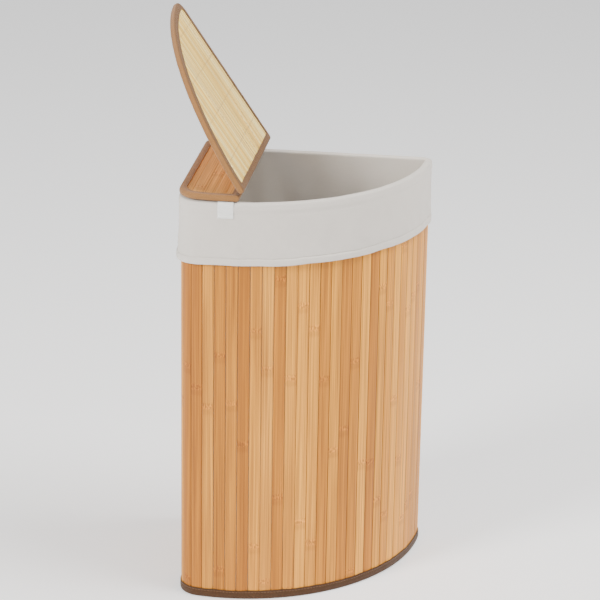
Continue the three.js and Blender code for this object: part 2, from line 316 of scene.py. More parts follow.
def bamboo_material(name, tones, ripened, half_width, joint_spacing, roughness,
                    painted_side_shade=False):
    """Satin bamboo. "grain" is the place on the lath, across, through and along, and "lath" a
    number from 0 to 1 that tells one lath from the next."""
    made, tree, shader = material(name, roughness, coat=0.05)
    shader.inputs["Coat Roughness"].default_value = 0.35
    shader.inputs["Specular IOR Level"].default_value = 0.32
    lath = attribute(tree, "lath", "Fac")
    grain = parts_of(tree, attribute(tree, "grain"))
    across, along = grain["X"], grain["Z"]
    far_apart = times(tree, lath, 37.0)

    def field(scale_across, scale_along, detail, offset):
        """Noise drawn out along the grain, with a part of its own for every lath."""
        where = vector(tree, times_plus(tree, across, scale_across, far_apart),
                       times_plus(tree, along, scale_along, offset), far_apart)
        return noise(tree, where, 1.0, detail, 0.6).outputs[0]

    fibre = field(2600.0, 9.0, 3.0, 0.0)
    streak = field(420.0, 4.0, 2.0, 11.0)
    strand = field(900.0, 5.0, 1.0, 91.0)
    drift = field(40.0, 3.2, 1.0, 23.0)
    vein = smooth_step(tree, field(760.0, 2.2, 1.0, 71.0), 0.60, 0.70)
    rim = smooth_step(tree, maths(tree, "ABSOLUTE", across), half_width * 0.90, half_width * 0.985)
    rim = times(tree, rim, times_plus(tree, streak, -0.6, -0.20))
    shade = 1.0
    for mark, strength, rest in ((fibre, 0.50, 0.75), (streak, 1.20, 0.40), (strand, 0.80, 0.60),
                                 (rim, 1.0, 1.0), (drift, 0.24, 0.88), (vein, -0.28, 1.0)):
        shade = times(tree, shade, times_plus(tree, mark, strength, rest))

    base = ramp(tree, lath, tones, "CONSTANT")
    tone = put(tree, "ShaderNodeTexWhiteNoise", {"W": far_apart}, noise_dimensions="1D").outputs[0]
    base = blend_colour(tree, times(tree, tone, 0.28), base, tones[0][1])
    ripe = smooth_step(tree, field(30.0, 2.4, 2.0, 57.0), 0.42, 0.66)
    base = blend_colour(tree, times(tree, ripe, 0.45), base, ripened)

    # Where the cane had a joint, the lath has a mottled band with a darker edge below it.
    turned = times_plus(tree, lath, 7.31, maths(tree, "DIVIDE", along, joint_spacing))
    part = maths(tree, "SUBTRACT", maths(tree, "FRACT", turned), 0.5)
    ragged = maths(tree, "SUBTRACT", field(700.0, 150.0, 2.0, 5.0), 0.5)
    height = times_plus(tree, ragged, 0.022, part)
    band = smooth_step(tree, maths(tree, "ABSOLUTE", height), 0.018, 0.008)
    below = maths(tree, "ABSOLUTE", maths(tree, "ADD", height, 0.026))
    edge = smooth_step(tree, below, 0.02, 0.004)
    fleck = smooth_step(tree, field(900.0, 260.0, 2.0, 41.0), 0.42, 0.60)
    mottle = blend_colour(tree, fleck, (0.55, 0.42, 0.34, 1.0), (1.42, 1.42, 1.50, 1.0))
    joint_tint = blend_colour(tree, times(tree, band, 0.75), WHITE, mottle)
    edge_tint = blend_colour(tree, times(tree, edge, 0.35), WHITE, (0.66, 0.56, 0.48, 1.0))

    # Painted shade: the colour is darkened towards -X and lightened towards +X by the place on the
    # object, in place of light from one side.
    if painted_side_shade:
        here = parts_of(tree, object_place(tree))
        painted_shade_factor = put(tree, "ShaderNodeMapRange", {"Value": here["X"], "From Min": PAINTED_SHADE_DARKEST_X,
                       "From Max": PAINTED_SHADE_LIGHTEST_X, "To Min": 0.80, "To Max": 1.18}).outputs[0]
        shade = times(tree, shade, painted_shade_factor)
    warm = put(tree, "ShaderNodeCombineColor", {0: shade, 1: maths(tree, "POWER", shade, 1.18),
                                                2: maths(tree, "POWER", shade, 1.5)}).outputs[0]
    colour = base
    for tint in (warm, joint_tint, edge_tint):
        colour = blend_colour(tree, 1.0, colour, tint, "MULTIPLY")
    tree.links.new(colour, shader.inputs["Base Color"])
    tree.links.new(times_plus(tree, streak, 0.25, roughness - 0.1), shader.inputs["Roughness"])
    raised(tree, shader, times_plus(tree, band, 0.6, times(tree, fibre, 0.8)), 0.35, 0.0003)
    return made


WALL_TONES = [
    (0.00, srgb(202, 130, 30)), (0.14, srgb(225, 152, 48)), (0.30, srgb(185, 114, 20)),
    (0.44, srgb(209, 139, 36)), (0.58, srgb(176, 106, 14)), (0.68, srgb(230, 158, 58)),
    (0.80, srgb(192, 121, 22)), (0.90, srgb(215, 143, 40)),
]
RIPE_TONE = srgb(176, 106, 18)
wall_bamboo = bamboo_material("wall_bamboo", WALL_TONES, RIPE_TONE, SLAT_PITCH / 2, 0.33, 0.45,
                              painted_side_shade=True)


def stored(tree, geometry, name, value, kind="FLOAT_VECTOR", domain="POINT"):
    return put(tree, "GeometryNodeStoreNamedAttribute", {"Geometry": geometry, "Name": name,
               "Value": value}, data_type=kind, domain=domain).outputs[0]


def moved_to(tree, geometry, where):
    return put(tree, "GeometryNodeSetPosition", {"Geometry": geometry,
                                                 "Position": where}).outputs[0]


def point_place(tree):
    return put(tree, "GeometryNodeInputPosition").outputs[0]


def chance(tree, given, low, high, salt):
    """A number between two limits, drawn anew for every lath."""
    seed = maths(tree, "ADD", given["Seed"], float(salt))
    return put(tree, "FunctionNodeRandomValue", {2: low, 3: high, "Seed": seed},
               data_type="FLOAT").outputs[1]


def marks_in_row(tree, given, start):
    """One point for each lath, a pitch apart along X."""
    return put(tree, "GeometryNodeMeshLine", {"Count": given["Laths"],
               "Start Location": vector(tree, start), "Offset": vector(tree, given["Pitch"])},
               mode="OFFSET", count_mode="TOTAL").outputs[0]


def lath_with_grain(tree, size, cuts):
    """A plain lath that keeps where each of its points was, and those places."""
    lath = put(tree, "GeometryNodeMeshCube", {"Size": size, "Vertices X": cuts[0],
                                              "Vertices Y": cuts[1], "Vertices Z": cuts[2]})
    here = point_place(tree)
    return stored(tree, lath.outputs["Mesh"], "grain", here), parts_of(tree, here)


def painted(tree, geometry, paint, out):
    done = put(tree, "GeometryNodeSetMaterial", {"Geometry": geometry, "Material": paint})
    tree.links.new(done.outputs[0], out.inputs[0])
    return tree


def mat_tree():
    """Lays laths side by side along X, then wraps them round the line that comes in."""
    tree, group, out = new_tree("bamboo_mat", {
        "Laths": 62, "Pitch": SLAT_PITCH, "Gap": SLAT_GAP, "Thickness": SLAT_THICK,
        "Length": 0.6, "Lowest": 0.0, "Seed": 27})
    given = group.outputs
    width = maths(tree, "SUBTRACT", given["Pitch"], given["Gap"])
    size = vector(tree, width, given["Thickness"], given["Length"])
    lath, parts = lath_with_grain(tree, size, (9, 4, 16))

    # The long edges are eased: the face drops away towards the lath's two sides.
    half = times(tree, width, 0.5)
    rel = maths(tree, "ABSOLUTE", maths(tree, "DIVIDE", parts["X"], half))
    eased = times(tree, maths(tree, "POWER", rel, 11.0), 0.34)
    crown = times(tree, maths(tree, "POWER", rel, 2.0), 0.06)
    keep = maths(tree, "SUBTRACT", maths(tree, "SUBTRACT", 1.0, eased), crown)
    soft = moved_to(tree, lath, vector(tree, parts["X"], times(tree, parts["Y"], keep), parts["Z"]))

    lean = vector(tree, 0.0, chance(tree, given, -0.0004, 0.0004, 2),
                  chance(tree, given, -0.012, 0.012, 1))
    stretch = vector(tree, chance(tree, given, 0.976, 1.0, 4), chance(tree, given, 0.93, 1.0, 5), 1.0)
    row = marks_in_row(tree, given, times(tree, given["Pitch"], 0.5))
    laid = put(tree, "GeometryNodeInstanceOnPoints", {"Points": row, "Instance": soft,
               "Rotation": lean, "Scale": stretch}).outputs[0]
    named = stored(tree, laid, "lath", chance(tree, given, 0.0, 1.0, 6), "FLOAT", "INSTANCE")
    nudge = vector(tree, 0.0, chance(tree, given, -0.00012, 0.00012, 7))
    nudged = put(tree, "GeometryNodeTranslateInstances", {"Instances": named,
                                                          "Translation": nudge})
    flat = put(tree, "GeometryNodeRealizeInstances", {"Geometry": nudged.outputs[0]}).outputs[0]

    path = put(tree, "GeometryNodeMeshToCurve", {"Mesh": given["Geometry"]})
    at = parts_of(tree, point_place(tree))
    on_path = put(tree, "GeometryNodeSampleCurve", {"Curves": path.outputs[0], "Length": at["X"]},
                  mode="LENGTH").outputs
    away = put(tree, "ShaderNodeVectorMath", {0: on_path["Tangent"], 1: (0.0, 0.0, 1.0)},
               operation="CROSS_PRODUCT").outputs[0]
    depth = maths(tree, "SUBTRACT", at["Y"], times(tree, given["Thickness"], 0.5))
    pushed = put(tree, "ShaderNodeVectorMath", {0: away, "Scale": depth}, operation="SCALE")
    rise = times_plus(tree, given["Length"], 0.5, at["Z"])
    lifted = vector(tree, 0.0, 0.0, maths(tree, "ADD", rise, given["Lowest"]))
    final = on_path["Position"]
    for step in (pushed.outputs[0], lifted):
        final = put(tree, "ShaderNodeVectorMath", {0: final, 1: step}, operation="ADD").outputs[0]
    turned = put(tree, "GeometryNodeFlipFaces", {"Mesh": moved_to(tree, flat, final)})
    return painted(tree, turned.outputs[0], wall_bamboo, out)


plan, girth = plan_line(0.003)
slat_low, slat_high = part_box("front_slat_05")[0][2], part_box("front_slat_05")[1][2]
loop = mesh_object("plan_loop", [(row[0], row[1], 0.0) for row in plan], [])
loop.data.edges.add(len(plan))
for i, edge in enumerate(loop.data.edges):
    edge.vertices = (i, (i + 1) % len(plan))
loop.data.update()
lath_count = round(girth / SLAT_PITCH)
wall_slats = grown(loop, mat_tree(), "wall_slats", {
    "Laths": lath_count, "Pitch": girth / lath_count, "Length": slat_high - slat_low,
    "Lowest": slat_low})
slat_nodes = [name for name in frame["nodes"] if name.startswith("front_slat_")]
slat_nodes += ["side_wall_slats", "back_wall_slats", "back_corner_slat"]
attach(wall_slats, "hamper")
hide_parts(*slat_nodes)


# ---------------------------------------------------------------------------------------------
# Parts inside the wall: the thin cotton the slats are glued to, the two spring-wire hoops that
# hold the plan, the strip sewn over the upper hoop, and the fibreboard base. All but the base's
# underside are out of sight, so the solids already drawn for them keep their shape.

def cloth_material(name, thread_a, thread_b, thread, roughness, sheen, relief=0.5, fuzz=0.10):
    """Plain-woven cloth. "cloth" is the place on the cloth in metres, along and across."""
    made, tree, shader = material(name, roughness, sheen=sheen)
    shader.inputs["Sheen Roughness"].default_value = 0.5
    shader.inputs["Specular IOR Level"].default_value = 0.25
    flat = attribute(tree, "cloth")
    wander = noise(tree, flat, 160.0, 1.0).outputs["Color"]
    drift = put(tree, "ShaderNodeVectorMath", {0: wander, "Scale": thread * 0.5},
                operation="SCALE").outputs[0]
    moved = put(tree, "ShaderNodeVectorMath", {0: flat, 1: drift}, operation="ADD")
    axis = parts_of(tree, moved.outputs[0])
    waves = [maths(tree, "SINE", times(tree, axis[way], math.pi / thread)) for way in "XY"]
    over = maths(tree, "GREATER_THAN", times(tree, *waves), 0.0)
    crown = times(tree, *[maths(tree, "ABSOLUTE", wave) for wave in waves])
    height = maths(tree, "POWER", crown, 0.6)
    patches = noise(tree, flat, 24.0, 3.0).outputs[0]
    slub = put(tree, "ShaderNodeMapping", {"Vector": flat, "Scale": (60.0, 2400.0, 1.0)})
    slub = noise(tree, slub.outputs[0], 1.0, 1.0).outputs[0]
    shade = times_plus(tree, height, 0.20, 0.82)
    shade = times(tree, shade, times_plus(tree, patches, fuzz * 2, 1.0 - fuzz))
    shade = times(tree, shade, times_plus(tree, slub, 0.16, 0.92))
    grey = put(tree, "ShaderNodeCombineColor", {0: shade, 1: shade, 2: shade}).outputs[0]
    colour = blend_colour(tree, over, thread_a, thread_b)
    colour = blend_colour(tree, 1.0, colour, grey, "MULTIPLY")
    tree.links.new(colour, shader.inputs["Base Color"])
    raised(tree, shader, times_plus(tree, slub, 0.5, height), relief, thread * 0.4)
    return made


def plain_surface(name, colours, scale, stretch, roughness, relief, metallic=0.0):
    """A speckled or drawn surface for the parts that lie hidden, on their own coordinates."""
    made, tree, shader = material(name, roughness)
    shader.inputs["Metallic"].default_value = metallic
    spread = put(tree, "ShaderNodeMapping", {"Vector": object_place(tree), "Scale": stretch})
    speckle = noise(tree, spread.outputs[0], scale, 4.0, 0.65).outputs[0]
    colour = ramp(tree, speckle, [(0.3, colours[0]), (0.7, colours[1])])
    tree.links.new(colour, shader.inputs["Base Color"])
    raised(tree, shader, speckle, relief, 0.0003)
    return made


backing_cotton = plain_surface("backing_cotton", (srgb(206, 198, 184), srgb(222, 216, 204)),
                               1400.0, (1, 1, 1), 0.9, 0.4)
hoop_steel = plain_surface("hoop_steel", (srgb(120, 122, 126), srgb(168, 170, 174)),
                           300.0, (1, 1, 6), 0.32, 0.15, 1.0)
fibreboard = plain_surface("fibreboard", (srgb(150, 118, 84), srgb(176, 144, 106)),
                           700.0, (1, 1, 1), 0.8, 0.3)
rim_canvas = plain_surface("rim_canvas", (srgb(112, 82, 56), srgb(136, 102, 72)),
                           1600.0, (1, 1, 1), 0.9, 0.5)
hidden_parts = {
    "slat_backing_cloth": backing_cotton, "top_hoop": hoop_steel, "bottom_hoop": hoop_steel,
    "rim_binding": rim_canvas, "base_board": fibreboard, "fixed_panel_board": fibreboard,
    "door_board": fibreboard,
}
for node_name, paint in hidden_parts.items():
    solid = frame["nodes"][node_name]
    solid.data.materials.clear()
    solid.data.materials.append(paint)


# ---------------------------------------------------------------------------------------------
# Bottom binding. A brown canvas tape, folded under the ends of the slats and round the lower
# hoop, and sewn through the wall with one row of thick thread near its upper edge.

def closed_band(name, rings, cloth):
    """Rings of equal count joined into one closed hollow band, facing out, with the place on
    the cloth kept as an attribute. The seam on the cloth falls between last and first ring."""
    rings = [np.asarray(r, float) for r in rings]
    count = len(rings[0])
    points = np.concatenate(rings)
    faces = []
    for r in range(len(rings)):
        a, b = r * count, ((r + 1) % len(rings)) * count
        for i in range(count):
            j = (i + 1) % count
            faces.append((a + i, a + j, b + j, b + i))
    quads = points[np.array(faces)]
    volume = np.einsum("ij,ij->i", quads[:, 0], np.cross(quads[:, 1], quads[:, 2])).sum()
    volume += np.einsum("ij,ij->i", quads[:, 0], np.cross(quads[:, 2], quads[:, 3])).sum()
    if volume < 0:
        faces = [face[::-1] for face in faces]
    obj = mesh_object(name, points, faces)
    keep_cloth(obj, np.concatenate([np.asarray(c, float) for c in cloth]))
    return obj


def keep_cloth(obj, places):
    """Stores where each point lies on the flat cloth, in metres, and shades it smooth."""
    layer = obj.data.attributes.new("cloth", "FLOAT_VECTOR", "POINT")
    flat = np.zeros((len(obj.data.vertices), 3), np.float32)
    flat[:, :2] = places
    layer.data.foreach_set("vector", flat.ravel())
    obj.data.shade_smooth()


def waver(walked, total, seed, waves, amount):
    """A smooth closed waver round a loop: a few sines of random phase, at whole wave counts."""
    rng = random.Random(seed)
    result = np.zeros(len(walked))
    for n in waves:
        result += np.sin(2 * np.pi * n * np.asarray(walked) / total + rng.uniform(0, 6.28))
    return result * amount / math.sqrt(len(waves))


def stitch_tree(name, paint):
    """Lays short thread stitches end to end along the line that comes in."""
    tree, group, out = new_tree(name, {"Spacing": 0.0045, "Stitch Length": 0.0034,
                                       "Thread Radius": 0.0003, "Seed": 1})
    given = group.outputs
    path = put(tree, "GeometryNodeMeshToCurve", {"Mesh": given["Geometry"]})
    marks = put(tree, "GeometryNodeCurveToPoints", {"Curve": path.outputs[0],
                "Length": given["Spacing"]}, mode="LENGTH").outputs
    bead = put(tree, "GeometryNodeMeshUVSphere", {"Segments": 6, "Rings": 4, "Radius": 1.0})
    shape = vector(tree, given["Thread Radius"], given["Thread Radius"],
                   times(tree, given["Stitch Length"], 0.5))
    thread = put(tree, "GeometryNodeTransform", {"Geometry": bead.outputs[0], "Scale": shape})
    sway = put(tree, "FunctionNodeRandomValue", {2: -0.06, 3: 0.06, "Seed": given["Seed"]},
               data_type="FLOAT").outputs[1]
    turn = put(tree, "FunctionNodeAlignRotationToVector", {"Vector": marks["Tangent"]}, axis="Z")
    tilted = put(tree, "FunctionNodeRotateRotation", {"Rotation": turn.outputs[0],
                 "Rotate By": vector(tree, sway, sway)}, rotation_space="LOCAL")
    sewn = put(tree, "GeometryNodeInstanceOnPoints", {"Points": marks["Points"],
               "Instance": thread.outputs[0], "Rotation": tilted.outputs[0]})
    real = put(tree, "GeometryNodeRealizeInstances", {"Geometry": sewn.outputs[0]})
    return painted(tree, real.outputs[0], paint, out)


def thread_material(name, light, dark):
    made, tree, shader = material(name, 0.7, sheen=0.2)
    strand = noise(tree, object_place(tree), 2600.0, 1.0).outputs[0]
    tree.links.new(ramp(tree, strand, [(0.35, dark), (0.65, light)]), shader.inputs["Base Color"])
    return made


def stitches(name, lines, tree, body, slot, **sizes):
    """Sews one piece of stitching along several lines of points."""
    points = []
    edges = []
    for line, closed in lines:
        first = len(points)
        points += [tuple(map(float, p)) for p in line]
        edges += [(first + i, first + i + 1) for i in range(len(line) - 1)]
        if closed:
            edges.append((first + len(line) - 1, first))
    mesh = bpy.data.meshes.new(name + "_line")
    mesh.from_pydata(points, edges, [])
    guide = bpy.data.objects.new(name + "_line", mesh)
    bpy.context.scene.collection.objects.link(guide)
    sewn = grown(guide, tree, name, {k.replace("_", " ").title(): v for k, v in sizes.items()})
    sewn.data.shade_smooth()
    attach(sewn, body)
    return sewn


brown_canvas = cloth_material("brown_canvas", srgb(84, 56, 31), srgb(66, 42, 22), 0.0007, 0.88, 0.15)
brown_thread = thread_material("brown_thread", srgb(136, 100, 66), srgb(96, 66, 42))


def ringed(out, high):
    """The plan line moved out from the wall's face, at given heights."""
    out = np.broadcast_to(out, (len(plan),))
    high = np.broadcast_to(high, (len(plan),))
    return np.stack([plan[:, 0] + plan[:, 2] * out, plan[:, 1] + plan[:, 3] * out, high], axis=1)


walked = plan[:, 4]
band_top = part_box("bottom_binding")[1][2]
band_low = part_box("bottom_binding")[0][2]
inner_top = 0.0081
edge_wave = waver(walked, girth, 5, (7, 13, 23, 41), 0.0004)
puff = waver(walked, girth, 6, (9, 17, 29, 53), 0.00012)
STITCH_DOWN = 0.0028
section = [
    (0.00030, band_top - 0.0005, 0, 1), (0.00045, band_top - 0.0001, 0, 1),
    (0.00080, band_top, 0, 1), (0.00112, band_top - 0.0004, 0, 1),
    (0.00124, band_top - 0.0013, 1, 0.7), (0.00092, band_top - STITCH_DOWN, 0, 0.5),
    (0.00126, band_top - 0.0044, 1, 0.3), (0.00142, 0.0060, 1, 0.1), (0.00134, 0.0030, 1, 0),
    (0.00110, 0.0015, 0.5, 0), (0.00055, 0.0007, 0, 0), (-0.0004, band_low, 0, 0),
    (-0.0056, band_low, 0, 0), (-0.0067, 0.0007, 0, 0), (-0.00725, 0.0018, 0, 0),
    (-0.0073, 0.0060, 0, 0), (-0.0073, inner_top - 0.0004, 0, 0), (-0.0069, inner_top, 0, 0),
    (-0.0065, inner_top - 0.0004, 0, 0), (-0.0065, 0.0022, 0, 0), (-0.0060, 0.0014, 0, 0),
    (-0.0010, 0.0013, 0, 0), (0.00010, 0.0016, 0, 0), (0.00028, 0.0022, 0, 0),
]
rings = []
flats = []
down = 0.0
for k, (out, high, puffed, waved) in enumerate(section):
    if k:
        down += math.hypot(out - section[k - 1][0], high - section[k - 1][1])
    rings.append(ringed(out + puff * puffed, high + edge_wave * waved))
    flats.append(np.stack([walked, np.full(len(plan), down)], axis=1))
bottom_tape = closed_band("bottom_tape", rings, flats)
bottom_tape.data.materials.append(brown_canvas)
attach(bottom_tape, "hamper")
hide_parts("bottom_binding")
brown_stitching = stitch_tree("brown_stitching", brown_thread)
seam = ringed(0.00098, band_top - STITCH_DOWN + edge_wave * 0.5)
stitches("bottom_tape_stitches", [(seam, True)], brown_stitching, "hamper", "brown_cloth",
         spacing=0.0046, stitch_length=0.0036, thread_radius=0.00032)


# ---------------------------------------------------------------------------------------------
# Liner. One bag of light grey polycotton that hangs inside the wall, soft and a little loose, is
# turned out over the rim and hangs down outside as a cuff. The cuff ends in a turned hem with
# one row of stitches. The bag has a floor sewn in and a seam up the back corner.

liner_grey = cloth_material("liner_grey", srgb(226, 219, 210), srgb(214, 207, 198), 0.00055, 0.92,
                            0.2, relief=0.3, fuzz=0.03)
grey_thread = thread_material("grey_thread", srgb(214, 211, 207), srgb(182, 179, 176))
rim_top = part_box("liner")[1][2]
hem_low = 0.511
bag_floor = 0.0057
BAG_IN = 0.0080
RIM_OUT, RIM_SEAT, RIM_RISE = 0.0021, 0.0038, 0.0034
CUFF_OUT = 0.0020
FLOOR_IN = 0.0110
FLOOR_MIDDLE = np.array([0.010, 0.020])
FLOOR_ROWS = 7
CLOTH_THICK = 0.0007
HEM_ROWS = (0.0112, 0.0104, 0.0098, 0.0093, 0.0086, 0.0076, 0.0060, 0.0040, 0.0022, 0.0010,
            0.0003, 0.0)
HEM_SEAM = 3


def smooth_loop(values, passes):
    for _ in range(passes):
        values = (np.roll(values, 1, axis=0) + 2 * values + np.roll(values, -1, axis=0)) / 4
    return values


softened = smooth_loop(plan[:, 2:4].copy(), 60)
softened /= np.linalg.norm(softened, axis=1)[:, None]
corner = np.clip(1 - (plan[:, 2:4] * np.roll(plan[:, 2:4], 5, axis=0)).sum(1), 0, 1)
openness = 1 - np.clip(smooth_loop(corner, 60) * 40, 0, 0.85)
near_front_tab = np.exp(-((plan[:, 0] + 0.080) / 0.020) ** 4)
FOLDS = ((5, 0.30), (8, 0.26), (13, 0.22), (21, 0.16), (34, 0.06))


def folds(seed, lean, high):
    """Soft hanging folds round the bag from 0 to about 1, drifting sideways on the way down."""
    rng = random.Random(seed)
    total = np.zeros(len(plan))
    for waves, share in FOLDS:
        phase = rng.uniform(0, 6.28) + lean * waves * 0.05 * math.sin(high * 7 + rng.uniform(0, 6.28))
        total += share * (0.5 + 0.5 * np.sin(2 * np.pi * waves * walked / girth + phase))
    return total


profile = [("floor", share, bag_floor) for share in 1.0 - np.linspace(0.0, 1.0, FLOOR_ROWS)]
profile += [("bag", -BAG_IN, high) for high in np.linspace(0.010, 0.590, 54)]
middle, reach = (RIM_OUT - BAG_IN) / 2, (RIM_OUT + BAG_IN) / 2
for turn in np.linspace(0, 180, 15):
    a = math.radians(turn)
    rise = RIM_RISE * math.sin(a) ** 0.45
    profile.append(("rim", middle - reach * math.cos(a), rim_top - RIM_SEAT + rise))
cuff_heights = np.linspace(rim_top - 0.008, hem_low + 0.012, 34)
profile += [("cuff", CUFF_OUT, high) for high in cuff_heights]
profile += [("hem", CUFF_OUT, hem_low + high) for high in HEM_ROWS]

corner_pull = np.exp(-((walked - 0.245) / 0.045) ** 2)
corner_pull += np.exp(-((walked - girth) / 0.03) ** 2) + np.exp(-(walked / 0.03) ** 2)
loose_a = waver(walked, girth, 31, (3, 5, 8), 1.0)
loose_b = waver(walked, girth, 32, (11, 17, 26), 1.0)
loose_c = waver(walked, girth, 33, (37, 52, 71), 1.0)
hem_wave = waver(walked, girth, 34, (4, 9, 16), 0.0005)


def floor_row(share):
    """A ring of the floor, at its edge when share is 0 and at its middle when it is 1."""
    row = ringed(-FLOOR_IN, bag_floor)
    row[:, :2] = FLOOR_MIDDLE + (row[:, :2] - FLOOR_MIDDLE) * (1 - share * 0.995)
    x, y = row[:, 0], row[:, 1]
    ripple = 0.0006 + 0.0006 * np.sin(x * 61 + 1.2) * np.sin(y * 83 + 0.4)
    crease = 0.5 + 0.5 * np.sin(x * 37 + 3 * np.sin(y * 29))
    row[:, 2] = bag_floor + ripple + 0.0020 * crease * (1 - abs(1 - 2 * share)) * 0.8
    return row


def bag_row(high):
    """A ring of the hanging bag, drawn inwards by its folds, most at half height."""
    rise = (high - 0.010) / 0.58
    depth = 0.0150 * math.sin(math.pi * min(1.0, rise * 0.96 + 0.04)) ** 0.75
    depth *= 1 - 0.25 * rise
    inward = depth * folds(7, 1.0, high) * openness
    sag = 0.0020 * np.sin(high * 31 + loose_a * 1.7) * openness * math.sin(math.pi * rise)
    row = ringed(-BAG_IN, high)
    row[:, :2] -= softened * (inward + np.abs(sag))[:, None]
    return row


def cuff_row(kind, out, high):
    """A ring of the cuff, over the hoop at the top and free at the hem, with its wrinkles."""
    fall = (rim_top - high) / (rim_top - hem_low)
    free = math.sin(math.pi * min(fall * 0.62, 0.5)) ** 1.5
    quiet = 1 - 0.9 * near_front_tab * (1 if fall < 0.35 else max(0.0, 1 - (fall - 0.35) * 4))
    wrinkle = 0.0009 * loose_a * free + 0.0005 * loose_b * free
    wrinkle += 0.00034 * np.sin(high * 230 + loose_a * 2.5 + loose_b) * loose_c * 0.6 * free
    wrinkle += 0.00050 * np.sin(high * 95 + walked * 38 + loose_b * 1.3) * free
    above = high - hem_low
    gathered = np.sin(walked * 2 * np.pi * 33 / girth + high * 150 + loose_a * 2.2)
    gathered = gathered * (1 + loose_b * 0.5)
    wrinkle += 0.00060 * gathered * math.exp(-((above - 0.017) / 0.011) ** 2)
    down = rim_top - high
    hoop_line = 0.00055 * math.exp(-((down - 0.0065) / 0.0045) ** 2)
    hoop_line -= 0.00045 * math.exp(-((down - 0.0150) / 0.0018) ** 2)
    flare = (0.0012 + 0.0016 * corner_pull) * fall ** 2.2
    lift = out + 0.0004 + flare + hoop_line + np.maximum(wrinkle * quiet, -0.0012)
    if kind == "hem":
        ridge = 0.00150 * min(1.0, max(0.0, (0.0098 - above) / 0.0010))
        groove = 0.00120 * math.exp(-((above - 0.0092) / 0.0007) ** 2)
        pucker = 0.00022 * np.sin(walked * 2 * np.pi / 0.0062 + loose_b * 2)
        lift = lift + ridge - groove + pucker * math.exp(-((above - 0.0086) / 0.003) ** 2)
        if above < 0.0012:
            lift = lift - (0.0012 - above) * 0.35
    row = ringed(lift, high + hem_wave * fall ** 2)
    if kind == "cuff" and fall > 0.2:
        row[:, 2] += 0.0006 * loose_b * math.sin(math.pi * fall)
    return row


rows = []
for kind, out, high in profile:
    if kind == "floor":
        row = floor_row(out)
    elif kind == "bag":
        row = smooth_loop(bag_row(high), 1)
    elif kind == "rim":
        row = smooth_loop(ringed(out, high + 0.0003 * loose_b * 0.5), 1)
    else:
        row = smooth_loop(cuff_row(kind, out, high), 1)
    rows.append(row)
sheet_points = np.stack(rows)
along_row = np.roll(sheet_points, -1, axis=1) - np.roll(sheet_points, 1, axis=1)
along_profile = np.gradient(sheet_points, axis=0)
normal = np.cross(along_row, along_profile)
normal /= np.maximum(np.linalg.norm(normal, axis=2), 1e-12)[:, :, None]
normal[0] = (0.0, 0.0, 1.0)
if normal[30, 0, 0] * plan[0, 2] + normal[30, 0, 1] * plan[0, 3] > 0:
    normal = -normal
steps = np.linalg.norm(np.diff(sheet_points, axis=0), axis=2).mean(axis=1)
lengths = np.concatenate([[0.0], np.cumsum(steps)])
inner_side = sheet_points + normal * (CLOTH_THICK / 2)
outer_side = sheet_points - normal * (CLOTH_THICK / 2)
points = np.concatenate([inner_side.reshape(-1, 3), outer_side.reshape(-1, 3),
                         inner_side[0].mean(axis=0)[None], outer_side[0].mean(axis=0)[None]])
count, height_count = len(plan), len(rows)
half = height_count * count
last = half - count
faces = []
for r in range(height_count - 1):
    for i in range(count):
        j = (i + 1) % count
        a, b, c, d = r * count + i, r * count + j, (r + 1) * count + j, (r + 1) * count + i
        faces.append((a, b, c, d))
        faces.append((half + d, half + c, half + b, half + a))
for i in range(count):
    j = (i + 1) % count
    faces.append((last + i, last + j, half + last + j, half + last + i))
for i in range(count):
    j = (i + 1) % count
    faces.append((2 * half, j, i))
    faces.append((2 * half + 1, half + i, half + j))
wall_face = [points[k] for k in next(f for f in faces if f[0] == 30 * count)]
side = np.cross(wall_face[1] - wall_face[0], wall_face[2] - wall_face[0])
if side @ normal[30, 0] < 0:
    faces = [f[::-1] for f in faces]
liner = mesh_object("liner_bag", points, faces)
places = np.stack([np.broadcast_to(walked, (height_count, count)),
                   np.broadcast_to(lengths[:, None], (height_count, count))], axis=2)
places[:FLOOR_ROWS] = sheet_points[:FLOOR_ROWS, :, :2]
places = places.reshape(-1, 2)
keep_cloth(liner, np.concatenate([places, places, [FLOOR_MIDDLE, FLOOR_MIDDLE]]))
liner.data.materials.append(liner_grey)
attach(liner, "hamper")
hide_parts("liner")
hem_row = sheet_points[HEM_SEAM - len(HEM_ROWS)]
outward = np.stack([plan[:, 2], plan[:, 3], np.zeros(count)], axis=1)
grey_stitching = stitch_tree("grey_stitching", grey_thread)
hem_stitches = stitches("liner_hem_stitches", [(hem_row + outward * 0.00045, True)], grey_stitching,
                        "hamper", "liner_cloth", spacing=0.0036, stitch_length=0.0026,
                        thread_radius=0.00020)


# ---------------------------------------------------------------------------------------------
# Lid mats. Each of the two lid panels is a board with broad bamboo laths above, laid along the
# fold, and a mat of fine pale laths below, laid across it. The fine mat is woven together with
# rows of cotton thread. Both mats are cut to the panel's outline before the edge is bound.

hinge_low, hinge_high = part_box("fold_hinge_tape")
fold_x = (hinge_low[0] + hinge_high[0]) / 2
fold_z = (hinge_low[2] + hinge_high[2]) / 2
LID_OVERHANG = 0.002
FOLD_GAP = 0.0012
LID_THICK = 0.009
DOOR_OPEN = -math.radians(frame["joints"][0]["range_deg"][0])
PANELS = {"fixed_panel": (-1, "hamper"), "door": (1, "door")}


def spaced(path, count):
    """Points at equal distances along a line of points, its two ends among them."""
    run = np.concatenate([[0.0], np.cumsum(np.linalg.norm(np.diff(path, axis=0), axis=1))])
    at = np.linspace(0.0, run[-1], count)
    return np.stack([np.interp(at, run, path[:, 0]), np.interp(at, run, path[:, 1])], axis=1), run[-1]


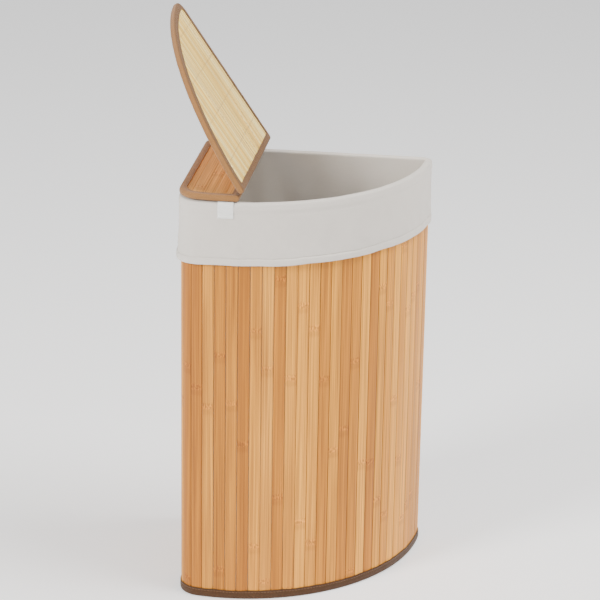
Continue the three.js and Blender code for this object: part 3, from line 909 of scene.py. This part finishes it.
def panel_ring(side, inset, around=320, across=110, rounding=3):
    """The edge of a lid panel in plan, moved in by an inset, with its fold corners rounded."""
    out = LID_OVERHANG - inset
    x = plan[:, 0] + plan[:, 2] * out
    y = plan[:, 1] + plan[:, 3] * out
    limit = fold_x + side * (FOLD_GAP + inset)
    inside = (x - limit) * side > 0
    total = len(x)
    first = next(i for i in range(total) if inside[i] and not inside[i - 1])
    order = []
    while inside[(first + len(order)) % total] and len(order) < total:
        order.append((first + len(order)) % total)

    def crossing(i, j):
        share = (limit - x[i]) / (x[j] - x[i])
        return (limit, y[i] + (y[j] - y[i]) * share)

    path = [crossing(first - 1, first)] + [(x[i], y[i]) for i in order]
    path.append(crossing(order[-1], (order[-1] + 1) % total))
    edge, edge_length = spaced(np.array(path), around)
    fold_edge, fold_length = spaced(np.array([path[-1], path[0]]), across + 2)
    ring = np.concatenate([edge, fold_edge[1:-1]])
    run = np.concatenate([np.linspace(0, edge_length, around),
                          edge_length + np.linspace(0, fold_length, across + 2)[1:-1]])
    return smooth_loop(ring, rounding), run, edge_length + fold_length


def opened(points):
    """Turns points of the door from where they lie when closed to where the door stands."""
    points = np.array(points, float)
    x, z = points[:, 0] - fold_x, points[:, 2] - fold_z
    cos, sin = math.cos(DOOR_OPEN), math.sin(DOOR_OPEN)
    points[:, 0] = fold_x + x * cos - z * sin
    points[:, 2] = fold_z + x * sin + z * cos
    return points


def place(obj, change):
    count = len(obj.data.vertices)
    flat = np.zeros(count * 3)
    obj.data.vertices.foreach_get("co", flat)
    obj.data.vertices.foreach_set("co", change(flat.reshape(-1, 3)).ravel())
    obj.data.update()


def panel_tree(name, paint):
    """Laths side by side along X, each as long as the walled-in outline lets it be along Y."""
    tree, group, out = new_tree(name, {"Laths": 12, "Pitch": 0.017, "Gap": 0.0002,
        "Thickness": 0.0012, "Low": 0.0, "High": 0.1, "Ray Start": 0.0, "Level": 0.0, "Seed": 1})
    given = group.outputs
    width = maths(tree, "SUBTRACT", given["Pitch"], given["Gap"])
    lath, parts = lath_with_grain(tree, vector(tree, width, 1.0, given["Thickness"]), (7, 14, 2))
    rel = maths(tree, "ABSOLUTE", maths(tree, "DIVIDE", parts["X"], times(tree, width, 0.5)))
    keep = maths(tree, "SUBTRACT", 1.0, times(tree, maths(tree, "POWER", rel, 9.0), 0.3))
    soft = moved_to(tree, lath, vector(tree, parts["X"], parts["Y"], times(tree, parts["Z"], keep)))
    start = maths(tree, "ADD", given["Low"], times(tree, given["Pitch"], 0.5))
    stretch = vector(tree, chance(tree, given, 0.988, 1.0, 1), 1.0, chance(tree, given, 0.88, 1.0, 2))
    laid = put(tree, "GeometryNodeInstanceOnPoints", {"Points": marks_in_row(tree, given, start),
               "Instance": soft, "Scale": stretch}).outputs[0]
    named = stored(tree, laid, "lath", chance(tree, given, 0.0, 1.0, 3), "FLOAT", "INSTANCE")
    flat = put(tree, "GeometryNodeRealizeInstances", {"Geometry": named}).outputs[0]

    # Each lath is drawn out to the two places where a line along it meets the outline.
    at = parts_of(tree, point_place(tree))
    kept_x = put(tree, "ShaderNodeClamp", {0: at["X"], 1: given["Low"], 2: given["High"]}).outputs[0]
    ends = []
    for direction in (-1.0, 1.0):
        ray = put(tree, "GeometryNodeRaycast", {"Target Geometry": given["Geometry"],
                  "Source Position": vector(tree, kept_x, given["Ray Start"]),
                  "Ray Direction": (0.0, direction, 0.0), "Ray Length": 2.0}, data_type="FLOAT")
        ends.append(parts_of(tree, ray.outputs["Hit Position"])["Y"])
    share = maths(tree, "ADD", at["Y"], 0.5)
    along = times_plus(tree, maths(tree, "SUBTRACT", ends[1], ends[0]), share, ends[0])
    cut = moved_to(tree, flat, vector(tree, kept_x, along, maths(tree, "ADD", at["Z"], given["Level"])))
    grain = put(tree, "GeometryNodeInputNamedAttribute", {"Name": "grain"}, data_type="FLOAT_VECTOR")
    grain = parts_of(tree, grain.outputs[0])
    along_now = parts_of(tree, point_place(tree))["Y"]
    marked = stored(tree, cut, "grain", vector(tree, grain["X"], grain["Z"], along_now))
    return painted(tree, marked, paint, out)


LID_TONES = [
    (0.00, srgb(218, 161, 88)), (0.22, srgb(226, 170, 97)), (0.44, srgb(210, 153, 79)),
    (0.66, srgb(222, 166, 92)), (0.84, srgb(214, 157, 84)),
]
PALE_TONES = [
    (0.00, srgb(253, 214, 118)), (0.18, srgb(255, 230, 150)), (0.36, srgb(248, 200, 92)),
    (0.52, srgb(254, 222, 132)), (0.70, srgb(250, 206, 104)), (0.86, srgb(255, 234, 162)),
]
LID_LATH = 0.0168
FINE_LATH = 0.0042
lid_bamboo = bamboo_material("lid_bamboo", LID_TONES, srgb(196, 128, 58), LID_LATH / 2, 0.47, 0.45)
pale_bamboo = bamboo_material("pale_bamboo", PALE_TONES, srgb(242, 190, 90), FINE_LATH / 2, 2.3, 0.5)
slat_mat = panel_tree("lid_slat_mat", lid_bamboo)
lining_mat = panel_tree("lid_lining_mat", pale_bamboo)
cotton_thread = thread_material("cotton_thread", srgb(206, 168, 112), srgb(164, 124, 76))
mat_stitching = stitch_tree("mat_stitching", cotton_thread)
MAT_INSET = 0.0038
MAT_CLEAR = 0.0006
SLAT_LEVEL, LINING_LEVEL, THREAD_LEVEL = -0.0017, -0.0073, -0.00795
THREAD_PAIR = 0.0011
THREAD_ROWS = {"fixed_panel": (-0.034,), "door": (0.043, 0.0975, 0.152, 0.2065)}


def curtain(ring):
    """A wall along a closed outline, for the laths to end against."""
    count = len(ring)
    points = [(x, y, z) for z in (-0.2, 0.2) for x, y in ring]
    faces = [(i, (i + 1) % count, count + (i + 1) % count, count + i) for i in range(count)]
    return mesh_object("outline", points, faces)


for panel, (side, body) in PANELS.items():
    ring = panel_ring(side, MAT_INSET)[0]
    low, high = ring.min(axis=0) + MAT_CLEAR, ring.max(axis=0) - MAT_CLEAR
    size = ring.max(axis=0) - ring.min(axis=0)
    laths = max(1, round(size[0] / LID_LATH))
    mat = grown(curtain(ring), slat_mat, panel + "_slats", {
        "Laths": laths, "Pitch": (size[0] - 2 * MAT_CLEAR) / laths, "Low": low[0], "High": high[0],
        "Ray Start": plan[:, 1].max() - 0.014 if side > 0 else 0.0,
        "Level": fold_z + SLAT_LEVEL, "Seed": 11})
    turned = np.stack([ring[:, 1], -ring[:, 0]], axis=1)
    start_x = ring[ring[:, 1].argmin(), 0] + (0.0006 if side > 0 else 0.0)
    laths = max(1, round(size[1] / FINE_LATH))
    fine = grown(curtain(turned), lining_mat, panel + "_lining", {
        "Laths": laths, "Pitch": (size[1] - 2 * MAT_CLEAR) / laths, "Gap": 0.00025,
        "Low": low[1], "High": high[1], "Ray Start": -start_x,
        "Level": fold_z + LINING_LEVEL, "Seed": 23})
    place(fine, lambda p: np.stack([-p[:, 1], p[:, 0], p[:, 2]], axis=1))
    for piece, node in ((mat, "slat_mat"), (fine, "lining_mat")):
        if side > 0:
            place(piece, opened)
        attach(piece, body)
        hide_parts(f"{panel}_{node}")
    sewing = []
    for reach in THREAD_ROWS[panel]:
        at = fold_x + reach
        span = [y for x, y in ring if abs(x - at) < 0.004]
        middle = (min(span) + max(span)) / 2
        y = np.linspace(min(y for y in span if y < middle) + 0.004, max(span) - 0.004, 60)
        for shift in (0.0, THREAD_PAIR):
            row = np.stack([np.full(60, at + shift), y, np.full(60, fold_z + THREAD_LEVEL)], axis=1)
            sewing.append((opened(row) if side > 0 else row, False))
    stitches(panel + "_mat_thread", sewing, mat_stitching, body, "pale_bamboo",
             spacing=0.0042, stitch_length=0.0034, thread_radius=0.00022)


# ---------------------------------------------------------------------------------------------
# Lid bindings. Each panel's edge is wrapped in brown canvas tape, folded over both faces and
# sewn through near its inner edge, with the thread pulling the tape down a little. Where the
# tape lies on the underside its colour is darkened, a painted shade.

lid_canvas = cloth_material("lid_canvas", srgb(166, 118, 68), srgb(136, 94, 53), 0.0007, 0.88, 0.2)
canvas_tree = lid_canvas.node_tree
canvas_colour = canvas_tree.nodes["Principled BSDF"].inputs["Base Color"]
# Painted shade: the tape's colour is multiplied darker where it lies on the panel's underside.
across_tape = parts_of(canvas_tree, attribute(canvas_tree, "cloth"))["Y"]
painted_underside_shade = smooth_step(canvas_tree, across_tape, 0.0165, 0.0185)
canvas_tree.links.new(blend_colour(canvas_tree, painted_underside_shade, canvas_colour.links[0].from_socket,
                                   (0.62, 0.62, 0.64, 1.0), "MULTIPLY"), canvas_colour)
lid_thread = thread_material("lid_thread", srgb(120, 84, 50), srgb(88, 60, 36))
lid_stitching = stitch_tree("lid_stitching", lid_thread)
TAPE_REACH = 0.011
SEWN_IN = 0.0090
tape_section = [
    (TAPE_REACH, -0.0004), (TAPE_REACH - 0.0003, -0.0001), (TAPE_REACH - 0.0009, 0.0),
    (SEWN_IN + 0.0004, -0.0001), (SEWN_IN, -0.00028), (SEWN_IN - 0.0005, -0.0001), (0.0060, 0.0002),
    (0.0044, 0.00025), (0.0030, 0.0), (0.0019, -0.0004), (0.0010, -0.0010), (0.0004, -0.0019),
    (0.0, -0.0030), (0.0, -0.0045), (0.0, -0.0060), (0.0004, -0.0071), (0.0010, -0.0080),
    (0.0019, -0.0086), (0.0030, -0.0090), (0.0044, -0.0090), (0.0060, -0.0090),
    (SEWN_IN - 0.0005, -0.0089), (SEWN_IN, -0.00872), (SEWN_IN + 0.0004, -0.0089),
    (TAPE_REACH - 0.0009, -0.0090), (TAPE_REACH - 0.0003, -0.0089), (TAPE_REACH, -0.0086),
    (TAPE_REACH - 0.0003, -0.0083), (0.0060, -0.0081), (0.0032, -0.0081), (0.0016, -0.0073),
    (0.0008, -0.0060), (0.0008, -0.0030), (0.0016, -0.0017), (0.0032, -0.0009),
    (0.0060, -0.0009), (TAPE_REACH - 0.0003, -0.0009),
]
for panel, (side, body) in PANELS.items():
    rings, flats = [], []
    down = 0.0
    outer, run, total = panel_ring(side, 0.0)
    edge_wave = waver(run, total, 41 + side, (9, 17, 31, 47), 0.0003)
    plump = waver(run, total, 51 + side, (13, 29, 43), 0.00010)
    for k, (inset, depth) in enumerate(tape_section):
        if k:
            down += math.hypot(inset - tape_section[k - 1][0], depth - tape_section[k - 1][1])
        ring = panel_ring(side, inset)[0]
        inward = ring - outer
        size = np.maximum(np.linalg.norm(inward, axis=1), 1e-9)[:, None]
        ring = ring + inward / size * (edge_wave * (inset / TAPE_REACH) ** 2)[:, None]
        depths = depth + (plump * (1 if depth > -0.0045 else -1) if 0.001 < inset < 0.0085 else 0.0)
        if depth < -0.0045:
            depths = np.maximum(depths, -LID_THICK)
        rings.append(np.column_stack([ring, np.full(len(ring), 0.0) + fold_z + depths]))
        flats.append(np.stack([run, np.full(len(run), down)], axis=1))
    if side > 0:
        rings = [opened(r) for r in rings]
    tape = closed_band(panel + "_tape", rings, flats)
    tape.data.materials.append(lid_canvas)
    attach(tape, body)
    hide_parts(panel + "_binding")
    sewing = []
    seam = panel_ring(side, SEWN_IN)[0]
    inward = seam - outer
    inward /= np.maximum(np.linalg.norm(inward, axis=1), 1e-9)[:, None]
    seam = seam + inward * (edge_wave * (SEWN_IN / TAPE_REACH) ** 2)[:, None]
    for depth in (-0.0001, -0.0089):
        row = np.column_stack([seam, np.full(len(seam), fold_z + depth)])
        sewing.append((opened(row) if side > 0 else row, True))
    stitches(panel + "_tape_stitches", sewing, lid_stitching, body, "lid_binding",
             spacing=0.0042, stitch_length=0.0033, thread_radius=0.00028)


# ---------------------------------------------------------------------------------------------
# Fold hinge. A narrow woven tape lies across the fold on top of both panels and carries the
# door. It is overcast along both edges with a zigzag of thick thread, which has frayed a little.

hinge_canvas = cloth_material("hinge_canvas", srgb(140, 102, 66), srgb(112, 78, 48), 0.0008, 0.9, 0.25)
TAPE_HALF = 0.0050
TAPE_OVER = 0.00040
fold_ring = panel_ring(-1, 0.0)[0]
near_fold = [y for x, y in fold_ring if x > fold_x - 0.006]
hinge_y = np.linspace(min(near_fold) + 0.0035, max(near_fold) - 0.0035, 150)
rng = random.Random(61)
fray = smooth_loop(np.array([rng.uniform(-1, 1) for _ in hinge_y]), 1)
reach = np.linspace(-1.0, 1.0, 21)
swing = DOOR_OPEN


def across_fold(share, lift, wobble):
    """A point on the tape, from -1 at its edge on the small panel to 1 at its edge on the door."""
    length = share * TAPE_HALF + (wobble if abs(share) > 0.8 else 0.0) * (1 if share > 0 else -1)
    if length < 0:
        spot = np.array([length, lift])
    else:
        door_way = np.array([math.cos(swing), math.sin(swing)])
        spot = door_way * length + np.array([-door_way[1], door_way[0]]) * lift
    halfway = (math.pi + swing) / 2
    inner = np.array([math.cos(halfway), math.sin(halfway)]) * (0.0010 + lift * 0.4)
    bend = max(0.0, 1 - abs(length) / 0.0022)
    blend = bend * bend * (3 - 2 * bend)
    return spot * (1 - blend) + inner * blend


def hinge_row(share, lift, ys, wobbles):
    offsets = np.array([across_fold(share, lift, wobble) for wobble in wobbles])
    return np.stack([fold_x + offsets[:, 0], ys, fold_z + offsets[:, 1]], axis=1)


def closed_strip(name, rows, cloth):
    """A thin strip closed on all sides, from rows down one face and back along the other."""
    count, total = len(rows[0]), len(rows)
    faces = []
    for r in range(total):
        a, b = r * count, ((r + 1) % total) * count
        faces += [(a + i, a + i + 1, b + i + 1, b + i) for i in range(count - 1)]
    for r in range(total // 2 - 1):
        low_a, low_b = r * count, (r + 1) * count
        top_a, top_b = (total - 1 - r) * count, (total - 2 - r) * count
        faces.append((low_a, low_b, top_b, top_a))
        faces.append((low_a + count - 1, top_a + count - 1, top_b + count - 1, low_b + count - 1))
    strip = mesh_object(name, np.concatenate(rows), faces)
    shell = bmesh.new()
    shell.from_mesh(strip.data)
    bmesh.ops.recalc_face_normals(shell, faces=shell.faces)
    shell.to_mesh(strip.data)
    shell.free()
    keep_cloth(strip, np.concatenate(cloth))
    return strip


layers = [(share, TAPE_OVER) for share in reach] + [(share, 0.00012) for share in reach[::-1]]
rings = [hinge_row(share, lift, hinge_y, fray * 0.0004) for share, lift in layers]
flats = [np.stack([hinge_y, np.full(len(hinge_y), share * TAPE_HALF)], axis=1)
         for share, lift in layers]
hinge = closed_strip("fold_tape", rings, flats)
hinge.data.materials.append(hinge_canvas)
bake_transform(hinge)
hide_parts("fold_hinge_tape")
zigzag = np.arange(hinge_y[0] + 0.002, hinge_y[-1] - 0.002, 0.0011)
for name, sign, body in (("fold_zigzag_fixed", -1, "hamper"), ("fold_zigzag_door", 1, "door")):
    row = []
    for k, y in enumerate(zigzag):
        dx, dz = across_fold(sign * (0.76 if k % 2 else 1.04), TAPE_OVER + 0.00005, 0.0)
        row.append((fold_x + dx, y, fold_z + dz))
    stitches(name, [(row, False)], lid_stitching, body, "lid_binding",
             spacing=0.0019, stitch_length=0.0021, thread_radius=0.00018)


# ---------------------------------------------------------------------------------------------
# Tabs. Two short ends of ribbed white tape are sewn under the small panel, folded over the rim
# of the liner and held there, one in front and one at the back. The loose end is turned under.

tab_white = cloth_material("tab_white", srgb(254, 254, 251), srgb(246, 245, 241), 0.0009, 0.85,
                           0.3, relief=0.6, fuzz=0.03)
TAB_THICK = 0.0008
TAB_RIB = 0.0027


def tab_line():
    """The tab's path from under the lid, over the rim and down outside, as out and height."""
    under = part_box("front_tab")[1][2] - TAB_THICK / 2
    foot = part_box("front_tab")[0][2]
    path = [(out, under) for out in np.linspace(-0.0158, 0.0002, 18)]
    for turn in np.linspace(8, 90, 10):
        a = math.radians(turn)
        path.append((0.0002 + 0.0031 * math.sin(a), under - 0.0031 * (1 - math.cos(a))))
    path += [(0.0033 + 0.00012 * math.sin(k * 0.35), high)
             for k, high in enumerate(np.linspace(under - 0.0038, foot + 0.0004, 42))]
    return np.array(path)


def sew_tab(name, start, length):
    """A tab whose width runs along the plan line from a distance walked."""
    path = tab_line()
    run = np.concatenate([[0.0], np.cumsum(np.linalg.norm(np.diff(path, axis=0), axis=1))])
    tangent = np.gradient(path, axis=0)
    tangent /= np.linalg.norm(tangent, axis=1)[:, None]
    outward = np.stack([-tangent[:, 1], tangent[:, 0]], axis=1)
    widths = np.linspace(0.0, 1.0, 27)
    at = start + widths * length
    x = np.interp(at, plan[:, 4], plan[:, 0])
    y = np.interp(at, plan[:, 4], plan[:, 1])
    nx = np.interp(at, plan[:, 4], plan[:, 2])
    ny = np.interp(at, plan[:, 4], plan[:, 3])
    size = np.hypot(nx, ny)
    nx, ny = nx / size, ny / size
    rows, flats = [], []
    rib = 0.00020 * np.cos(run * 2 * math.pi / TAB_RIB)
    hem = np.clip((run - run[-1] + 0.0050) / 0.0008, 0, 1) * 0.00025
    selvedge = 0.10 * np.clip(1 - widths * 14, 0, 1) + 0.10 * np.clip(1 - (1 - widths) * 14, 0, 1)
    for face in (1, -1):
        for k in range(len(path))[::face]:
            off = face * (TAB_THICK / 2) * (1 - selvedge) + (rib[k] + hem[k] if face > 0 else 0.0)
            out = path[k, 0] + outward[k, 0] * off
            high = path[k, 1] + outward[k, 1] * off
            rows.append(np.stack([x + nx * out, y + ny * out, high], axis=1))
            flats.append(np.stack([np.full(len(x), run[k]), at], axis=1))
    tab = closed_strip(name, rows, flats)
    tab.data.materials.append(tab_white)
    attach(tab, "hamper")
    return tab, float(run[-1])


tab_ends = np.array([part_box("front_tab")[0][0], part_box("front_tab")[1][0]])
for name, facing, way in (("front", plan[:, 3] < -0.5, 1), ("back", plan[:, 3] > 0.99, -1)):
    ends = np.interp(np.sort(way * tab_ends), way * plan[facing, 0], walked[facing])
    start, end = ends.tolist()
    tab, run = sew_tab(name + "_tab_tape", start + 0.0003, end - start - 0.0006)
    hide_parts(name + "_tab")
